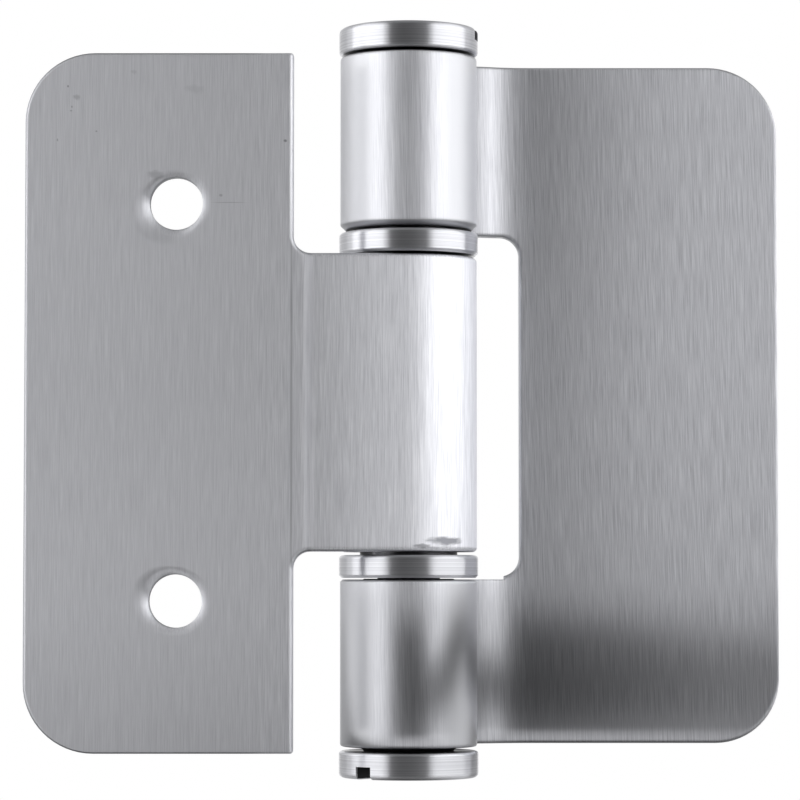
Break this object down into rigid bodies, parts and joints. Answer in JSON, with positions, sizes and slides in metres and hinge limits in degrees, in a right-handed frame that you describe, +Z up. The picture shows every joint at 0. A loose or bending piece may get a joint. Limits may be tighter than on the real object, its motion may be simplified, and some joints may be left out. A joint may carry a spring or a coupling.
{
  "type": "wall mount door hinge",
  "caption": "Rolled sheet hinge: a drilled wall leaf and a plain door leaf turn on a pin with turned rings and slotted end caps.",
  "frame": {"origin": "middle of the wall leaf's two screw holes, on the face that goes against the wall", "axes": "+X from the wall leaf toward the door leaf, +Y out of the wall, +Z up along the pin"},
  "size_m": [0.0964, 0.0194, 0.0957],
  "materials": {
    "brushed_sheet": "brushed along the pin",
    "turned_steel": "turned",
    "ground_pin": "ground",
    "black_bush": "matt"
  },
  "bodies": {
    "wall": {"wall_leaf": "brushed_sheet", "middle_bush": "black_bush", "lower_ring": "turned_steel"},
    "door": {"door_leaf": "brushed_sheet", "hinge_pin": "ground_pin", "top_cap": "turned_steel", "bottom_cap": "turned_steel", "upper_ring": "turned_steel", "upper_end_bush": "black_bush", "lower_end_bush": "black_bush", "lower_thrust_bush": "black_bush"}
  },
  "joints": [
    {"name": "door_swing", "type": "hinge", "parent": "wall", "child": "door", "pos_m": [0.02925, 0.0091, 0], "axis": [0, 0, 1], "range_deg": [-165, 165]}
  ]
}
